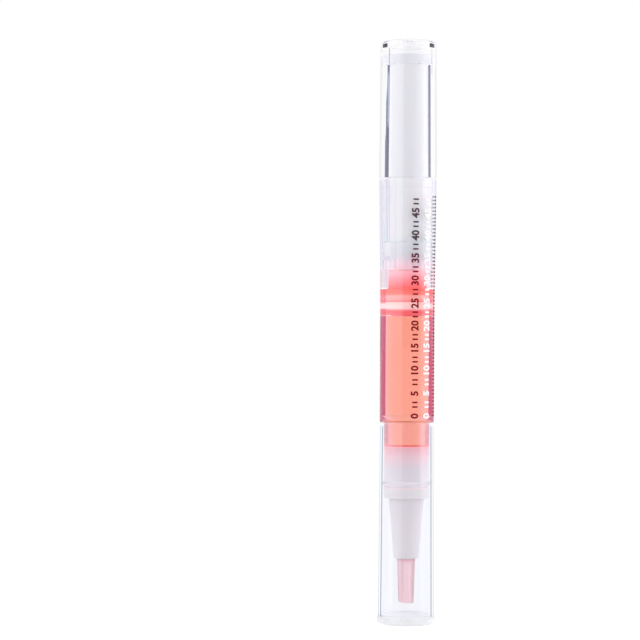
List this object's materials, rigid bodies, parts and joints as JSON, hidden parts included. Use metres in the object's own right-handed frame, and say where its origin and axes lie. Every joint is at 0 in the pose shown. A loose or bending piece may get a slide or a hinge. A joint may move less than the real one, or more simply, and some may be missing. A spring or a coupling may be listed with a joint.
{
  "type": "nail oil pen",
  "caption": "Slim twist-up nail oil pen with a clear cap, brush tip, see-through oil chamber with screw-driven piston and a clear twist knob.",
  "frame": {"origin": "centre of the flat closed end of the cap, on which the pen stands", "axes": "+Z along the pen towards the twist knob, -Y towards the viewer"},
  "size_m": [0.013, 0.013, 0.13],
  "materials": {
    "clear_shell": "clear, polished moulded plastic",
    "barrel_plastic": "clear plastic with a faint haze",
    "milky_plastic": "milky, half see-through plastic",
    "inner_plastic": "natural plastic",
    "bristles": "fine bristles, soaked with oil",
    "oil": "clear pink oil",
    "piston_plastic": "soft natural plastic, tinted by the oil",
    "white_plastic": "smooth white plastic",
    "sleeve_plastic": "half see-through plastic"
  },
  "bodies": {
    "cap": {"cap": "clear_shell"},
    "barrel": {"barrel": "barrel_plastic", "nozzle": "milky_plastic", "brush_collar": "inner_plastic", "brush_bristles": "bristles", "feed_tube": "inner_plastic", "oil_fill": "oil", "screw_nut": "sleeve_plastic", "bearing_sleeve": "sleeve_plastic"},
    "knob": {"knob_shell": "clear_shell", "drive_stem": "white_plastic", "click_spring": "white_plastic"},
    "screw": {"screw_rod": "white_plastic"},
    "piston": {"piston": "piston_plastic"}
  },
  "joints": [
    {"name": "pen_lift", "type": "slide", "parent": "cap", "child": "barrel", "axis": [0, 0, 1], "range_m": [0, 0.045]},
    {"name": "knob_twist", "type": "hinge", "parent": "barrel", "child": "knob", "pos_m": [0, 0, 0.0993], "axis": [0, 0, -1], "range_deg": [0, 1800], "deforming": ["click_spring"]},
    {"name": "screw_feed", "type": "slide", "parent": "knob", "child": "screw", "axis": [0, 0, -1], "range_m": [0, 0.022]},
    {"name": "piston_feed", "type": "slide", "parent": "barrel", "child": "piston", "axis": [0, 0, -1], "range_m": [0, 0.022], "deforming": ["oil_fill"]}
  ],
  "couplings": [
    {"joint": "screw_feed", "follows": "knob_twist", "m_per_rad": 0.00070028},
    {"joint": "piston_feed", "follows": "knob_twist", "m_per_rad": 0.00070028}
  ]
}
